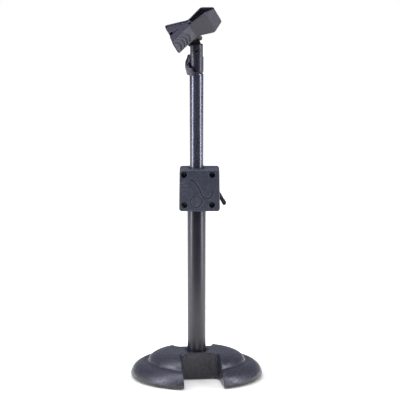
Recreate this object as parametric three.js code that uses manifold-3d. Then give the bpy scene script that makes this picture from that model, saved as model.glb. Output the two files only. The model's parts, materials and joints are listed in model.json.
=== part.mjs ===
// Desktop microphone stand: cast base, telescopic tube with a one-hand clutch, and a spring clip
// on a quick-release swivel. Millimetres, +Z up, origin on the floor under the base's centre.
import * as THREE from 'three';
import { mergeVertices } from 'three/addons/utils/BufferGeometryUtils.js';
import Module from 'manifold-3d';

const wasm = await Module();
wasm.setup();

const GAP = 0.3;
const BASE_STEPS = 48;
const ROUND_STEPS = 24;
const SCREW_STEPS = 28;
const MID_STEPS = 20;
const SMALL_STEPS = 16;
const PIN_STEPS = 12;
const OVERCUT = 5;

// Cast base.
const BASE = {
  bottom: 1.2, foot: 86, radius: 90, widest: 4.5, rimTop: 22.3, rimCrest: 73,
  domeStart: 66.5, domeEnd: 36, top: 36.9,
  spotRadius: 16.5, spotDepth: 1.6, socketRadius: 13, socketFloor: 31,
  boltHole: 5.5, headPocket: 15, headPocketTop: 14,
};
// Handles of the base's curves: its flank, the valley behind the rim and its dome.
const FLANK = { out: 0.3, lowZ: 12.5, highRadius: 82.5, highZ: 20.8 };
const VALLEY = { radius: 69.5, depth: 1.2 };
const DOME = { inward: 2, lowZ: 31, highRadius: 54, drop: 0.7 };
const NOTCH = { halfWidth: 27, innerWall: 22.6, corner: 9 };
const PAD = { radius: 9, thickness: 2.7, recessTop: 3, ring: 71, angle: 42 };
const ANCHOR = { shank: 5, headFlat: 17, headHeight: 6.4, washerRadius: 10, washerThickness: 2, top: 52 };

// Tubes. At rest the inner tube stands part way out.
const OUTER = { radius: 12.7, bore: 11.2, bottom: 31.3, top: 250 };
const PLUG = { radius: 10.9, bore: 5.3, bottom: 31.3, top: 55 };
const INNER = { radius: 9.525, bore: 8.025, bottom: 168, top: 418 };
const GUIDE = { radius: 10.9, bottom: 168, top: 188, clearance: 0.25 };
const STUD = { radius: 7.7, bottom: 400, top: 431, chamfer: 1 };

// Clutch block on top of the outer tube.
const BLOCK = { left: -23.5, right: 31.5, bottom: 232.5, top: 289.5, depth: 20, corner: 4 };
const SPLIT = { frontFace: -0.15, rearFace: 0.15 };
const TUBE_CLEARANCE = 0.8;
const POCKET = { left: -19.5, right: 22.5, bottom: 252, top: 277, halfDepth: 14 };
const SLOT = { left: 17, bottom: 252, top: 269, halfDepth: 6.5, mouthLeft: 25, mouthBottom: 237.5 };
const COVER_SCREW = {
  head: 3.7, recess: 4.25, shank: 2, headSeat: -14, headTop: -17.4, end: 12, socket: 1.5, socketDepth: 1.6,
};
const SCREW_PLACES = [[-17, 282.6], [21.5, 282.6], [-16, 241.5], [20.9, 241.5]];
const BUSH = { bore: 9.85, radius: 12, flange: 13.5, flangeBottom: 277.3, flangeTop: 279, top: 289.9 };
const PLATE = {
  left: -15, right: 19, halfDepth: 11.5, corner: 3, thickness: 2, hole: 10.2, tilt: 3.5, count: 3,
};
const FULCRUM = { x: -15, z: 266.6 };
const CLUTCH_SPRING = { radius: 11.6, wire: 0.6, bottom: 273.1, pitch: 1.5, turns: 1.3 };
const LEVER = {
  pivotX: 25, pivotZ: 262, length: 26, angle: -57.5, thickness: 5, corner: 2, halfDepth: 6, hub: 4.6,
  arm: 7.4, armBelow: 2.5, armAbove: 0.3,
};
const LEVER_PIN = { radius: 1.9, halfLength: 13 };

// Swivel on top of the inner tube.
const BARREL = {
  radius: 9.6, bottom: 418.3, boreTop: 431.6, earStart: 441, screwZ: 449.6, earHeight: 8.6, earCorner: 3,
};
const EAR_GAP = 3.9;
const SWIVEL_SCREW = {
  shank: 2.5, head: 4.8, recess: 5.2, recessFloor: -6.6, inset: 0.4,
  slotWidth: 1.2, slotDepth: 1.3, slotTurn: 40,
};
const NUT = { flat: 8, thickness: 3, inset: 0.6 };
const WASHER = { radius: 5.6, thickness: 0.6, face: 3.05 };
const QUICK = {
  direction: 190, from: -34, to: 70, pinZ: 431, pinOut: 11.4, pin: 0.9, pinHalf: 4.6, wall: 1.9,
};
// The thumb lever's outer side, as radii and heights above its pin, from its top down.
const QUICK_BULGE = [[12.1, 12.5], [13.6, 6], [15.9, 1], [15.6, -5], [13.9, -11], [13.2, -14.5]];
const QUICK_LUG = {
  halfWidth: 2.2, halfHeight: 1.7, tip: 1.5, gap: 0.35, cheek: 1.7, cheekIn: 1.4, cheekOut: 3.2,
};

// Spring clip. Its frame: x towards the jaws, y from the front arm to the rear arm, z along the hinge.
const TILT = -29;
const PAN = 31;
const TONGUE = {
  halfThickness: 2.8, radius: 6.6, left: -2, right: 10, reach: 12.5, knuckle: 3.6,
  neckBottom: 1, shoulder: 3.4, shoulderTop: 6,
};
const RIVET = { radius: 1.5, head: 2.8, headThickness: 1.1 };
const CARRIER = { left: -6, right: 14, bridgeBottom: 3.9, bridgeTop: 6.9, halfDepth: 4.5, boss: 3.2 };
const HINGE = { x: 10.8, z: 20.3, pin: 1.5, pinHead: 2.6, headThickness: 0.9, seat: 0.2 };
const ARM = {
  wall: 2.2, fingerX: -30.2, fingerY: 20.4, fingerHalf: 10.8, bendY: 5.8, bendHalf: 11.6,
  creaseX: 23, creaseY: 8.7, creaseHalf: 17.9, creaseInset: 0.6, tipX: 38.1, tipY: 2.8, tipHalf: 12,
  fingerExtra: 0.25, lip: 3,
};
const FLANGE = {
  wall: 1.5, frontOuter: 10.8, rearOuter: 8.9, fingerEdge: 5.5, lug: 3.3, lugSweep: 140,
  endInset: 0.8, endRise: 0.7, bendX: 0.5, bendRise: 0.3, footX: 3.2, footRise: 0.6,
};
// The wall that closes an arm's finger end.
const END_WALL = { from: 0.1, to: 1.8, start: 1, depth: 7, overlap: 0.5 };
const JAW_PAD = { start: 25, end: 35, thickness: 1.1, halfHeight: 9, corner: 0.4, clearance: 0.45 };
const TORSION = { radius: 2.5, wire: 0.35, halfLength: 5.5, turns: 6 };
const UPPER_TURN = -7;

const rad = THREE.MathUtils.degToRad;

const COLOURS = {
  iron: [0x2b2c33, 0.62, 0.5], rubber: [0x151517, 0.9, 0], steel: [0x8d8f96, 0.35, 0.9],
  outerTube: [0x2a2a30, 0.4, 0.6], innerTube: [0x33323a, 0.22, 0.8], housing: [0x3a3e49, 0.55, 0.1],
  blackSteel: [0x131316, 0.4, 0.7], blackPlastic: [0x17171a, 0.5, 0], clipPlastic: [0x35333f, 0.45, 0],
  nylon: [0xb9b6ab, 0.5, 0],
};

function finish(name) {
  const [color, roughness, metalness] = COLOURS[name];
  return new THREE.MeshStandardMaterial({ color, roughness, metalness });
}

function piece(name, geometry, colour, parent) {
  const mesh = new THREE.Mesh(geometry, finish(colour));
  mesh.name = name;
  parent.add(mesh);
  return mesh;
}

// Boolean work: a closed geometry becomes a solid and back.
function solid(geometry) {
  const bare = geometry.clone();
  bare.deleteAttribute('normal');
  bare.deleteAttribute('uv');
  const merged = mergeVertices(bare, 1e-4);
  const corners = merged.index.array;
  const triVerts = [];
  for (let i = 0; i < corners.length; i += 3) {
    const [a, b, c] = [corners[i], corners[i + 1], corners[i + 2]];
    if (a !== b && b !== c && c !== a) triVerts.push(a, b, c);
  }
  const vertProperties = new Float32Array(merged.attributes.position.array);
  const mesh = new wasm.Mesh({ numProp: 3, vertProperties, triVerts: new Uint32Array(triVerts) });
  return new wasm.Manifold(mesh);
}

function surface(body) {
  const { vertProperties, triVerts } = body.getMesh();
  const geometry = new THREE.BufferGeometry();
  geometry.setAttribute('position', new THREE.BufferAttribute(new Float32Array(vertProperties), 3));
  geometry.setIndex(new THREE.BufferAttribute(new Uint32Array(triVerts), 1));
  geometry.computeVertexNormals();
  return geometry;
}

function join(geometries) {
  return surface(geometries.map(solid).reduce((whole, next) => whole.add(next)));
}

function cut(geometry, cutters) {
  return surface(cutters.map(solid).reduce((rest, next) => rest.subtract(next), solid(geometry)));
}

function common(first, second) {
  return surface(solid(first).intersect(solid(second)));
}

// Plain shapes.
function revolve(profile, steps = ROUND_STEPS) {
  const points = profile.map(([r, z]) => new THREE.Vector2(r, z));
  return new THREE.LatheGeometry(points, steps).rotateX(Math.PI / 2);
}

function ring(inner, outer, bottom, top, steps = ROUND_STEPS) {
  return revolve([[inner, bottom], [outer, bottom], [outer, top], [inner, top], [inner, bottom]], steps);
}

function rod(radius, bottom, top, steps = ROUND_STEPS) {
  return revolve([[0, bottom], [radius, bottom], [radius, top], [0, top]], steps);
}

function box(x0, x1, y0, y1, z0, z1) {
  const geometry = new THREE.BoxGeometry(x1 - x0, y1 - y0, z1 - z0);
  return geometry.translate((x0 + x1) / 2, (y0 + y1) / 2, (z0 + z1) / 2);
}

function outline(points) {
  return new THREE.Shape(points.map(([x, y]) => new THREE.Vector2(x, y)));
}

function slab(shape, z0, z1, curveSegments = 6) {
  const options = { depth: z1 - z0, bevelEnabled: false, curveSegments };
  return new THREE.ExtrudeGeometry(shape, options).translate(0, 0, z0);
}

// Turns a shape drawn along z so that it lies along y or x.
function alongY(geometry) {
  return geometry.rotateX(-Math.PI / 2);
}

function alongX(geometry) {
  return geometry.rotateY(Math.PI / 2);
}

// A plate drawn in x and z, between two values of y.
function facing(shape, y0, y1, curveSegments = 6) {
  return slab(shape, -y1, -y0, curveSegments).rotateX(Math.PI / 2);
}

function crossRod(radius, x, z, y0, y1, steps = MID_STEPS) {
  return alongY(rod(radius, y0, y1, steps)).translate(x, 0, z);
}

function hexagon(flat) {
  const reach = flat / Math.sqrt(3);
  const corner = (k) => [reach * Math.cos(k * Math.PI / 3), reach * Math.sin(k * Math.PI / 3)];
  return outline([0, 1, 2, 3, 4, 5].map(corner));
}

function roundedRectangle(x0, x1, y0, y1, r) {
  const shape = new THREE.Shape();
  shape.moveTo(x0 + r, y0);
  shape.lineTo(x1 - r, y0);
  shape.absarc(x1 - r, y0 + r, r, -Math.PI / 2, 0);
  shape.absarc(x1 - r, y1 - r, r, 0, Math.PI / 2);
  shape.absarc(x0 + r, y1 - r, r, Math.PI / 2, Math.PI);
  shape.absarc(x0 + r, y0 + r, r, Math.PI, Math.PI * 1.5);
  return shape;
}

function coil(radius, wire, bottom, pitch, turns) {
  const stepsPerTurn = 10;
  const count = Math.round(turns * stepsPerTurn);
  const points = [];
  for (let i = 0; i <= count; i += 1) {
    const angle = 2 * Math.PI * i / stepsPerTurn;
    const height = bottom + wire + pitch * i / stepsPerTurn;
    points.push(new THREE.Vector3(radius * Math.cos(angle), radius * Math.sin(angle), height));
  }
  const section = new THREE.Shape();
  section.absarc(0, 0, wire, 0, 2 * Math.PI);
  const path = new THREE.CatmullRomCurve3(points);
  const options = { steps: count, extrudePath: path, curveSegments: 3, bevelEnabled: false };
  return new THREE.ExtrudeGeometry(section, options);
}

// Base.
function baseProfile() {
  const { bottom, foot, radius, widest, rimTop, rimCrest, domeStart, domeEnd, top } = BASE;
  const path = new THREE.Path();
  path.moveTo(BASE.headPocket, bottom);
  path.lineTo(foot, bottom);
  path.quadraticCurveTo(radius, bottom, radius, widest);
  path.bezierCurveTo(radius + FLANK.out, FLANK.lowZ, FLANK.highRadius, FLANK.highZ, rimCrest, rimTop);
  path.quadraticCurveTo(VALLEY.radius, rimTop - VALLEY.depth, domeStart, rimTop);
  path.bezierCurveTo(domeStart - DOME.inward, DOME.lowZ, DOME.highRadius, top - DOME.drop, domeEnd, top);
  path.lineTo(BASE.spotRadius, top);
  path.lineTo(BASE.spotRadius, top - BASE.spotDepth);
  path.lineTo(BASE.socketRadius, top - BASE.spotDepth);
  path.lineTo(BASE.socketRadius, BASE.socketFloor);
  path.lineTo(BASE.boltHole, BASE.socketFloor);
  path.lineTo(BASE.boltHole, BASE.headPocketTop);
  path.lineTo(BASE.headPocket, BASE.headPocketTop);
  path.lineTo(BASE.headPocket, bottom);
  return path.getPoints(5).map((p) => [p.x, p.y]);
}

function notchCutter(turn) {
  const { halfWidth, innerWall, corner } = NOTCH;
  const far = BASE.radius + OVERCUT;
  const shape = new THREE.Shape();
  shape.moveTo(-halfWidth, -far);
  shape.lineTo(halfWidth, -far);
  shape.lineTo(halfWidth, -innerWall - corner);
  shape.absarc(halfWidth - corner, -innerWall - corner, corner, 0, Math.PI / 2);
  shape.absarc(-halfWidth + corner, -innerWall - corner, corner, Math.PI / 2, Math.PI);
  return slab(shape, -OVERCUT, BASE.top + OVERCUT, 5).rotateZ(turn);
}

function padPlaces() {
  const angles = [PAD.angle, 180 - PAD.angle, 180 + PAD.angle, 360 - PAD.angle];
  return angles.map((angle) => [PAD.ring * Math.cos(rad(angle)), PAD.ring * Math.sin(rad(angle))]);
}

function buildBase(parent) {
  const recess = () => rod(PAD.radius + GAP, -OVERCUT, PAD.recessTop, MID_STEPS);
  const recesses = padPlaces().map(([x, y]) => recess().translate(x, y, 0));
  const blank = revolve(baseProfile(), BASE_STEPS);
  piece('base_casting', cut(blank, [notchCutter(0), notchCutter(Math.PI), ...recesses]), 'iron', parent);
  padPlaces().forEach(([x, y], i) => {
    const pad = rod(PAD.radius, 0, PAD.thickness, MID_STEPS);
    piece(`base_pad_${i + 1}`, pad, 'rubber', parent).position.set(x, y, 0);
  });
  const washerTop = BASE.headPocketTop - GAP;
  const washerBottom = washerTop - ANCHOR.washerThickness;
  const washer = ring(ANCHOR.shank + GAP, ANCHOR.washerRadius, washerBottom, washerTop, MID_STEPS);
  piece('anchor_washer', washer, 'steel', parent);
  const headTop = washerBottom - GAP;
  const head = slab(hexagon(ANCHOR.headFlat), headTop - ANCHOR.headHeight, headTop);
  const shank = rod(ANCHOR.shank, headTop - 1, ANCHOR.top, SMALL_STEPS);
  piece('anchor_bolt', join([head, shank]), 'steel', parent);
}

// Tubes.
function buildOuterTube(parent) {
  piece('outer_tube', ring(OUTER.bore, OUTER.radius, OUTER.bottom, OUTER.top), 'outerTube', parent);
  piece('outer_tube_plug', ring(PLUG.bore, PLUG.radius, PLUG.bottom, PLUG.top), 'steel', parent);
}

function buildInnerTube(parent) {
  const { radius, bore, bottom, top } = INNER;
  piece('inner_tube', ring(bore, radius, bottom, top), 'innerTube', parent);
  const guide = ring(radius + GUIDE.clearance, GUIDE.radius, GUIDE.bottom, GUIDE.top);
  piece('inner_tube_guide', guide, 'nylon', parent);
  const studTop = STUD.top - STUD.chamfer;
  const stud = [[0, STUD.bottom], [STUD.radius, STUD.bottom], [STUD.radius, studTop],
    [STUD.radius - STUD.chamfer, STUD.top], [0, STUD.top]];
  piece('tube_top_stud', revolve(stud), 'steel', parent);
}

// Clutch.
function clutchHalf(frontHalf) {
  const { left, right, bottom, top, depth, corner } = BLOCK;
  const y0 = frontHalf ? -depth : SPLIT.rearFace;
  const y1 = frontHalf ? SPLIT.frontFace : depth;
  const shell = facing(roundedRectangle(left, right, bottom, top, corner), y0, y1, 4);
  const pinHalf = LEVER_PIN.halfLength + GAP;
  const cutters = [
    rod(OUTER.radius + GAP, bottom - OVERCUT, OUTER.top + GAP),
    rod(INNER.radius + TUBE_CLEARANCE, OUTER.top - 1, POCKET.bottom + 1),
    rod(BUSH.flange + GAP, POCKET.top - 1, BUSH.flangeTop + GAP),
    rod(BUSH.radius + GAP, BUSH.flangeTop - 1, top + OVERCUT),
    box(POCKET.left, POCKET.right, -POCKET.halfDepth, POCKET.halfDepth, POCKET.bottom, POCKET.top),
    box(SLOT.left, right + OVERCUT, -SLOT.halfDepth, SLOT.halfDepth, SLOT.bottom, SLOT.top),
    box(
      SLOT.mouthLeft, right + OVERCUT, -SLOT.halfDepth, SLOT.halfDepth,
      SLOT.mouthBottom, SLOT.bottom + 1,
    ),
    crossRod(LEVER_PIN.radius + GAP, LEVER.pivotX, LEVER.pivotZ, -pinHalf, pinHalf),
  ];
  const { recess, shank, headSeat, end } = COVER_SCREW;
  for (const [x, z] of SCREW_PLACES) {
    cutters.push(crossRod(shank + GAP, x, z, headSeat - 1, end + GAP, SMALL_STEPS));
    cutters.push(crossRod(recess, x, z, -depth - OVERCUT, headSeat, ROUND_STEPS));
  }
  return cut(shell, cutters);
}

function coverScrew() {
  const { head, shank, headSeat, headTop, end, socket, socketDepth } = COVER_SCREW;
  const blank = join([
    crossRod(head, 0, 0, headTop, headSeat - GAP),
    crossRod(shank, 0, 0, headSeat - 1, end, SMALL_STEPS),
  ]);
  return cut(blank, [facing(hexagon(2 * socket), headTop - 1, headTop + socketDepth)]);
}

function clutchPlate(index) {
  const { left, right, halfDepth, thickness, hole } = PLATE;
  const low = FULCRUM.z + index * (thickness + GAP);
  const sheet = roundedRectangle(left, right, -halfDepth, halfDepth, PLATE.corner);
  const opening = new THREE.Path();
  opening.absarc(0, 0, hole, 0, 2 * Math.PI);
  sheet.holes.push(opening);
  const geometry = slab(sheet, low, low + thickness, 9);
  geometry.translate(-FULCRUM.x, 0, -FULCRUM.z).rotateY(rad(PLATE.tilt));
  return geometry.translate(FULCRUM.x, 0, FULCRUM.z);
}

function releaseLever() {
  const { pivotX, pivotZ, length, angle, thickness, corner, halfDepth, hub, arm } = LEVER;
  const { armBelow, armAbove } = LEVER;
  const bar = roundedRectangle(0, length, -thickness / 2, thickness / 2, corner);
  const handle = facing(bar, -halfDepth, halfDepth, 4);
  handle.rotateY(-rad(angle)).translate(pivotX, 0, pivotZ);
  const innerArm = box(pivotX - arm, pivotX, -halfDepth, halfDepth, pivotZ - armBelow, pivotZ + armAbove);
  const blank = join([handle, innerArm, crossRod(hub, pivotX, pivotZ, -halfDepth, halfDepth)]);
  return cut(blank, [crossRod(LEVER_PIN.radius + GAP, pivotX, pivotZ, -halfDepth - 1, halfDepth + 1)]);
}

function buildClutch(parent) {
  piece('clutch_front_cover', clutchHalf(true), 'housing', parent);
  piece('clutch_rear_housing', clutchHalf(false), 'housing', parent);
  SCREW_PLACES.forEach(([x, z], i) => {
    piece(`cover_screw_${i + 1}`, coverScrew(), 'blackSteel', parent).position.set(x, 0, z);
  });
  const { bore, radius, flange, flangeBottom, flangeTop, top } = BUSH;
  const bush = [[bore, flangeBottom], [flange, flangeBottom], [flange, flangeTop], [radius, flangeTop],
    [radius, top], [bore, top], [bore, flangeBottom]];
  piece('guide_bush', revolve(bush), 'blackPlastic', parent);
  for (let i = 0; i < PLATE.count; i += 1) {
    piece(`clutch_plate_${i + 1}`, clutchPlate(i), 'steel', parent);
  }
  const { radius: coilRadius, wire, bottom, pitch, turns } = CLUTCH_SPRING;
  piece('clutch_spring', coil(coilRadius, wire, bottom, pitch, turns), 'steel', parent);
  piece('release_lever', releaseLever(), 'blackPlastic', parent);
  const pin = crossRod(LEVER_PIN.radius, 0, 0, -LEVER_PIN.halfLength, LEVER_PIN.halfLength);
  piece('lever_pin', pin, 'steel', parent).position.set(LEVER.pivotX, 0, LEVER.pivotZ);
}

// Swivel.
function quickFrame(geometry) {
  return geometry.rotateZ(rad(QUICK.direction));
}

function barrelBody() {
  const { radius, bottom, boreTop, earStart, screwZ, earHeight, earCorner } = BARREL;
  const lower = rod(radius, bottom, earStart);
  const earFace = roundedRectangle(-radius, radius, earStart - 2 * earCorner, screwZ + earHeight, earCorner);
  const earBlank = common(
    rod(radius, earStart - 1, screwZ + earHeight),
    facing(earFace, -radius, radius, 4),
  );
  const { halfWidth, halfHeight, tip } = QUICK_LUG;
  const { pin, pinOut, pinZ } = QUICK;
  const [lugLow, lugHigh] = [pinZ - halfHeight, pinZ + halfHeight];
  const lug = quickFrame(box(radius - 1, pinOut + tip, -halfWidth, halfWidth, lugLow, lugHigh));
  return cut(join([lower, earBlank, lug]), [
    rod(STUD.radius + GAP, bottom - 1, boreTop),
    box(-radius - 1, radius + 1, -EAR_GAP, EAR_GAP, earStart, screwZ + earHeight + 1),
    crossRod(SWIVEL_SCREW.shank + GAP, 0, screwZ, -radius - 1, radius + 1),
    crossRod(SWIVEL_SCREW.recess, 0, screwZ, -radius - 1, SWIVEL_SCREW.recessFloor, SCREW_STEPS),
    facing(hexagon(NUT.flat + 2 * GAP), radius - NUT.thickness, radius + 1).translate(0, 0, screwZ),
    quickFrame(crossRod(pin + GAP, pinOut, pinZ, -halfWidth - 1, halfWidth + 1, PIN_STEPS)),
  ]);
}

function swivelScrew() {
  const { shank, head, recessFloor, inset, slotWidth, slotDepth, slotTurn } = SWIVEL_SCREW;
  const front = -BARREL.radius + inset;
  const blank = join([
    crossRod(head, 0, 0, front, recessFloor - GAP, SCREW_STEPS),
    crossRod(shank, 0, 0, recessFloor - 1, BARREL.radius - inset, SMALL_STEPS),
  ]);
  const slot = box(-head - 1, head + 1, front - 1, front + slotDepth, -slotWidth / 2, slotWidth / 2);
  return cut(blank, [slot.rotateY(rad(slotTurn))]);
}

function swivelNut() {
  const y0 = BARREL.radius - NUT.thickness + GAP;
  const hexed = facing(hexagon(NUT.flat), y0, BARREL.radius - NUT.inset);
  return cut(hexed, [crossRod(SWIVEL_SCREW.shank + GAP, 0, 0, y0 - 1, BARREL.radius + 1, SMALL_STEPS)]);
}

// Thumb lever: a rocker shell round one side of the barrel that stands away from it at its pin.
function quickLever() {
  const { from, to, pin, pinZ, pinOut, wall } = QUICK;
  const { halfWidth, halfHeight, gap, cheek, cheekIn, cheekOut } = QUICK_LUG;
  const bulge = QUICK_BULGE.map(([r, above]) => new THREE.Vector2(r, pinZ + above));
  const outer = new THREE.SplineCurve(bulge).getPoints(7);
  const profile = [
    ...outer.slice().reverse().map((p) => [p.x, p.y]),
    ...outer.map((p) => [p.x - wall, p.y]),
  ];
  profile.push(profile[0]);
  const reach = 30;
  const wedge = new THREE.Shape();
  wedge.moveTo(0, 0);
  const fan = 8;
  for (let k = 0; k <= fan; k += 1) {
    const angle = rad(from + (to - from) * k / fan);
    wedge.lineTo(reach * Math.cos(angle), reach * Math.sin(angle));
  }
  const shell = common(revolve(profile, 36), slab(wedge, pinZ - reach, pinZ + reach));
  const inner = halfWidth + gap;
  const [low, high] = [pinZ - halfHeight, pinZ + halfHeight];
  const cheekAt = (y0) => box(pinOut - cheekIn, pinOut + cheekOut, y0, y0 + cheek, low, high);
  const whole = join([shell, cheekAt(inner), cheekAt(-inner - cheek)]);
  const bore = crossRod(pin + GAP, pinOut, pinZ, -inner - cheek - 1, inner + cheek + 1, PIN_STEPS);
  return quickFrame(cut(whole, [bore]));
}

function buildSwivel(parent) {
  piece('swivel_barrel', barrelBody(), 'clipPlastic', parent);
  piece('swivel_screw', swivelScrew(), 'blackSteel', parent).position.z = BARREL.screwZ;
  piece('swivel_nut', swivelNut(), 'blackSteel', parent).position.z = BARREL.screwZ;
  const washer = (y0) => {
    const flat = ring(SWIVEL_SCREW.shank + GAP, WASHER.radius, 0, WASHER.thickness);
    return alongY(flat).translate(0, y0, BARREL.screwZ);
  };
  piece('friction_washer_front', washer(-WASHER.face - WASHER.thickness), 'nylon', parent);
  piece('friction_washer_rear', washer(WASHER.face), 'nylon', parent);
  piece('quick_release_lever', quickLever(), 'clipPlastic', parent);
  const pin = crossRod(QUICK.pin, QUICK.pinOut, QUICK.pinZ, -QUICK.pinHalf, QUICK.pinHalf, PIN_STEPS);
  piece('quick_release_pin', quickFrame(pin), 'steel', parent);
}

// Clip.
function buildTongue(parent) {
  const { halfThickness, radius, left, right, reach, knuckle, neckBottom, shoulder, shoulderTop } = TONGUE;
  const clear = halfThickness + OVERCUT;
  const neck = box(left, right, -halfThickness, halfThickness, neckBottom, reach);
  const trim = join([
    crossRod(radius + shoulder, 0, 0, -clear, clear, SCREW_STEPS),
    box(left - 1, right + 1, -clear, clear, shoulderTop, reach + OVERCUT),
  ]);
  const blank = join([
    crossRod(radius, 0, 0, -halfThickness, halfThickness, SCREW_STEPS),
    common(neck, trim),
    alongX(rod(knuckle, left, right)).translate(0, 0, reach),
  ]);
  const rivetHole = alongX(rod(RIVET.radius + GAP, left - 1, right + 1, SMALL_STEPS)).translate(0, 0, reach);
  const screwHole = crossRod(SWIVEL_SCREW.shank + GAP, 0, 0, -clear, clear, SMALL_STEPS);
  piece('clip_tongue', cut(blank, [rivetHole, screwHole]), 'blackPlastic', parent);
  const { radius: shank, head, headThickness } = RIVET;
  const [start, end] = [CARRIER.left - GAP, CARRIER.right + GAP];
  const rivet = [
    [0, start - headThickness], [head, start - headThickness], [head, start], [shank, start],
    [shank, end], [head, end], [head, end + headThickness], [0, end + headThickness],
  ];
  piece('pan_rivet', alongX(revolve(rivet, MID_STEPS)), 'steel', parent).position.z = reach;
}

function buildCarrier(parent) {
  const { left, right, bridgeBottom, bridgeTop, halfDepth, boss } = CARRIER;
  const knuckle = TONGUE.knuckle;
  const ear = (x0, x1) => join([
    alongX(rod(knuckle, x0, x1)),
    box(x0, x1, -knuckle, knuckle, 0, bridgeBottom + 1),
  ]);
  const bossTop = HINGE.z - ARM.bendHalf - GAP;
  const blank = join([
    ear(left, TONGUE.left - GAP), ear(TONGUE.right + GAP, right),
    box(left, right, -halfDepth, halfDepth, bridgeBottom, bridgeTop),
    rod(boss, bridgeTop - 1, bossTop, MID_STEPS).translate(HINGE.x, 0, 0),
  ]);
  const holes = [
    alongX(rod(RIVET.radius + GAP, left - 1, right + 1, SMALL_STEPS)),
    rod(HINGE.pin + GAP, bridgeBottom - 1, bossTop + 1, SMALL_STEPS).translate(HINGE.x, 0, 0),
  ];
  piece('clip_carrier', cut(blank, holes), 'blackPlastic', parent);
}

// One arm of the clip, for the front; the rear one is its mirror image with its flanges set inside.
function armPlate() {
  const { wall, fingerX, fingerY, fingerHalf, fingerExtra, bendY, bendHalf, lip } = ARM;
  const { creaseX, creaseY, creaseHalf, creaseInset, tipX, tipY, tipHalf } = ARM;
  const side = outline([
    [fingerX, -fingerY], [0, -bendY], [creaseX, -creaseY], [tipX, -tipY],
    [tipX, -tipY + wall], [creaseX - creaseInset, -creaseY + wall], [0, -bendY + wall],
    [fingerX, -fingerY + wall + fingerExtra],
  ]);
  const plan = new THREE.Shape();
  plan.moveTo(fingerX + lip, -fingerHalf);
  plan.lineTo(0, -bendHalf);
  plan.lineTo(creaseX, -creaseHalf);
  plan.lineTo(tipX, -tipHalf);
  plan.lineTo(tipX, tipHalf);
  plan.lineTo(creaseX, creaseHalf);
  plan.lineTo(0, bendHalf);
  plan.lineTo(fingerX + lip, fingerHalf);
  plan.quadraticCurveTo(fingerX, fingerHalf, fingerX, fingerHalf - lip);
  plan.lineTo(fingerX, -fingerHalf + lip);
  plan.quadraticCurveTo(fingerX, -fingerHalf, fingerX + lip, -fingerHalf);
  return common(slab(side, -creaseHalf, creaseHalf), facing(plan, -fingerY - 1, 1, 4));
}

function flangeShape() {
  const { fingerX, fingerY, bendY } = ARM;
  const { lug, lugSweep, fingerEdge, endInset, endRise, bendX, bendRise, footX, footRise } = FLANGE;
  const end = fingerX + endInset;
  const shape = new THREE.Shape();
  shape.moveTo(end, -fingerY + endRise);
  shape.lineTo(bendX, -bendY + bendRise);
  shape.lineTo(footX, -bendY + footRise);
  shape.lineTo(lug, 0);
  shape.absarc(0, 0, lug, 0, rad(lugSweep));
  shape.lineTo(end, -fingerEdge);
  return shape;
}

function arm(flangeOuter) {
  const inner = flangeOuter - FLANGE.wall;
  const { fingerX, fingerY } = ARM;
  const { from, to, start, depth, overlap } = END_WALL;
  const endHalf = inner + overlap;
  const endWall = box(fingerX + from, fingerX + to, start - fingerY, depth - fingerY, -endHalf, endHalf);
  const flanges = [slab(flangeShape(), inner, flangeOuter), slab(flangeShape(), -flangeOuter, -inner)];
  const clear = flangeOuter + OVERCUT;
  return cut(join([armPlate(), endWall, ...flanges]), [rod(HINGE.pin + GAP, -clear, clear, SMALL_STEPS)]);
}

function jawPad() {
  const { creaseX, creaseY, tipX, tipY, wall } = ARM;
  const slope = Math.atan2(creaseY - tipY, tipX - creaseX);
  const { start, end, thickness, halfHeight, corner, clearance } = JAW_PAD;
  const length = (end - start) / Math.cos(slope);
  const pad = slab(roundedRectangle(0, length, 0, thickness, corner), -halfHeight, halfHeight, 2);
  const inner = creaseY - wall / Math.cos(slope) - clearance - (start - creaseX) * Math.tan(slope);
  return pad.rotateZ(slope).translate(start, -inner, 0);
}

function mirrored(geometry) {
  const flipped = geometry.index ? geometry.toNonIndexed() : geometry.clone();
  const place = flipped.attributes.position;
  for (let i = 0; i < place.count; i += 3) {
    const first = [place.getX(i), -place.getY(i), place.getZ(i)];
    place.setXYZ(i, place.getX(i + 1), -place.getY(i + 1), place.getZ(i + 1));
    place.setXYZ(i + 1, ...first);
    place.setY(i + 2, -place.getY(i + 2));
  }
  return flipped;
}

function buildArms(parent) {
  piece('front_jaw', arm(FLANGE.frontOuter), 'clipPlastic', parent);
  piece('rear_jaw', mirrored(arm(FLANGE.rearOuter)), 'clipPlastic', parent);
  piece('front_jaw_pad', jawPad(), 'rubber', parent);
  piece('rear_jaw_pad', mirrored(jawPad()), 'rubber', parent);
  const { pin, pinHead, headThickness, seat } = HINGE;
  const pinBottom = CARRIER.bridgeBottom + seat - HINGE.z;
  const pinTop = ARM.bendHalf + GAP;
  const profile = [
    [0, pinBottom], [pin, pinBottom], [pin, pinTop], [pinHead, pinTop],
    [pinHead, pinTop + headThickness], [0, pinTop + headThickness],
  ];
  piece('hinge_pin', revolve(profile, SMALL_STEPS), 'blackSteel', parent);
  const { radius, wire, halfLength, turns } = TORSION;
  const pitch = (2 * halfLength - 2 * wire) / turns;
  piece('torsion_spring', coil(radius, wire, -halfLength, pitch, turns), 'steel', parent);
}

function buildClip(parent) {
  const tilted = new THREE.Group();
  tilted.position.z = BARREL.screwZ;
  tilted.rotation.y = rad(TILT);
  parent.add(tilted);
  buildTongue(tilted);
  const panned = new THREE.Group();
  panned.position.z = TONGUE.reach;
  panned.rotation.x = rad(PAN);
  tilted.add(panned);
  buildCarrier(panned);
  const hinge = new THREE.Group();
  hinge.position.set(HINGE.x, 0, HINGE.z);
  panned.add(hinge);
  buildArms(hinge);
}

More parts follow.
